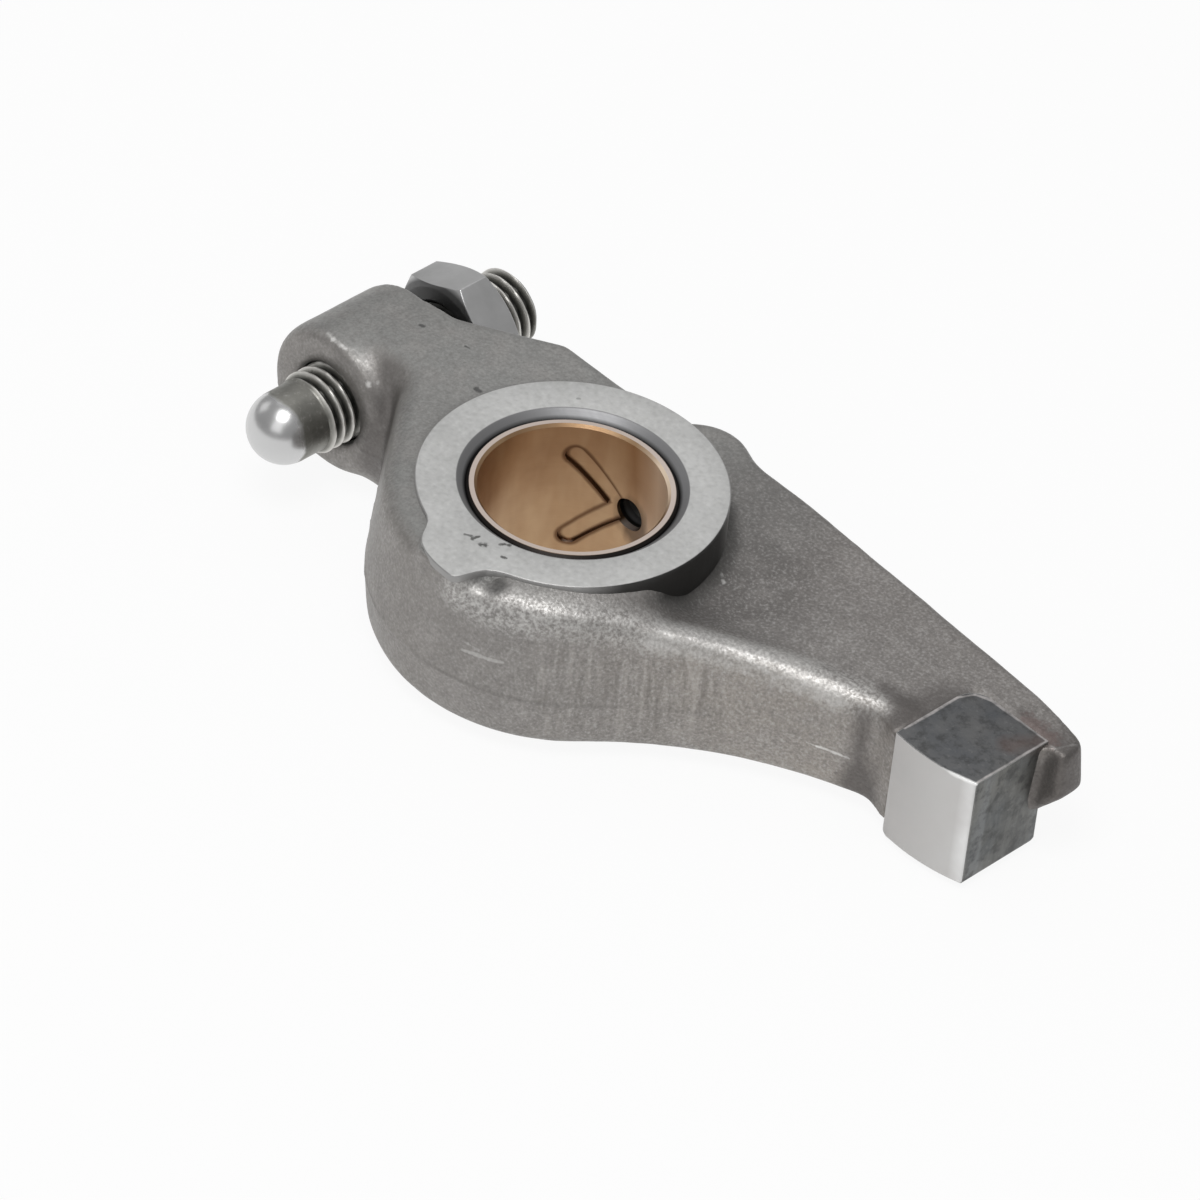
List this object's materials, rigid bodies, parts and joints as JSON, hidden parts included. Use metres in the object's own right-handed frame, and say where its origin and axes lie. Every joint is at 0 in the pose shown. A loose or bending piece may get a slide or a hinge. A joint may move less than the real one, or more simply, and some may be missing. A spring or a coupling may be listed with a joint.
{
  "type": "rocker arm",
  "caption": "Forged engine rocker arm with a bushed shaft bore, an offset valve arm with a ground contact pad, and a ball-ended adjusting screw with its lock nut.",
  "frame": {"origin": "on the rocker shaft's axis, in the plane of the lower thrust face", "axes": "+Z along the rocker shaft, from the lower thrust face to the upper one; +X towards the valve end, square to the adjusting screw; +Y along the adjusting screw, from its ball to its lock nut"},
  "size_m": [0.1317, 0.06, 0.0265],
  "materials": {
    "forged_steel": "shot-blasted forging with ground hub faces and valve pad",
    "bearing_bronze": "satin, bored",
    "hardened_steel": "dark oil-hardened thread, polished ball",
    "nut_steel": "satin"
  },
  "bodies": {
    "rocker": {"rocker_body": "forged_steel", "shaft_bush": "bearing_bronze"},
    "screw": {"adjusting_screw": "hardened_steel"},
    "nut": {"lock_nut": "nut_steel"}
  },
  "joints": [
    {"name": "screw_travel", "type": "slide", "parent": "rocker", "child": "screw", "axis": [0, 1, 0], "range_m": [-0.005, 0.0035]},
    {"name": "nut_travel", "type": "slide", "parent": "rocker", "child": "nut", "axis": [0, 1, 0], "range_m": [-0.0049, 0.001]}
  ]
}
